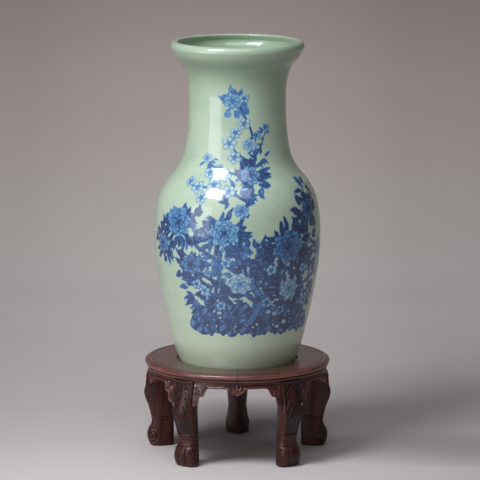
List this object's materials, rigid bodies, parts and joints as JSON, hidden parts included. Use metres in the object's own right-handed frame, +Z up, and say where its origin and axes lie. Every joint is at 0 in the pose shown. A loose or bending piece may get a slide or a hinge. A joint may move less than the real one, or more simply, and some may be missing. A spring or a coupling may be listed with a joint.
{
  "type": "baluster vase on stand",
  "caption": "Celadon baluster vase with flared mouth and blue painting, which lifts out of the seat of a carved wooden stand with cabriole legs.",
  "frame": {"origin": "on the floor, in the middle of the stand's footprint; the axis of the vase and of the round top is 4 mm in front of it", "axes": "+Z up along the vase, -Y towards the front of the stand, where two legs stand side by side, and +X to the right seen from the front"},
  "size_m": [0.2536, 0.256, 0.554],
  "materials": {
    "glaze": "glossy celadon glaze over blue painting",
    "hardwood": "waxed dark red-brown hardwood",
    "secondary_wood": "bare planed wood"
  },
  "bodies": {
    "vase": {"vase": "glaze"},
    "stand": {"top_panel": "hardwood", "panel_batten": "secondary_wood", "frame_segment_1": "hardwood", "leg_1": "hardwood", "apron_1": "hardwood", "frame_spline_1": "secondary_wood", "frame_segment_2": "hardwood", "leg_2": "hardwood", "apron_2": "hardwood", "frame_spline_2": "secondary_wood", "frame_segment_3": "hardwood", "leg_3": "hardwood", "apron_3": "hardwood", "frame_spline_3": "secondary_wood", "frame_segment_4": "hardwood", "leg_4": "hardwood", "apron_4": "hardwood", "frame_spline_4": "secondary_wood", "frame_segment_5": "hardwood", "leg_5": "hardwood", "apron_5": "hardwood", "frame_spline_5": "secondary_wood"}
  },
  "joints": [
    {"name": "vase_lift", "type": "slide", "parent": "stand", "child": "vase", "axis": [0, 0, 1], "range_m": [0, 0.12]}
  ]
}
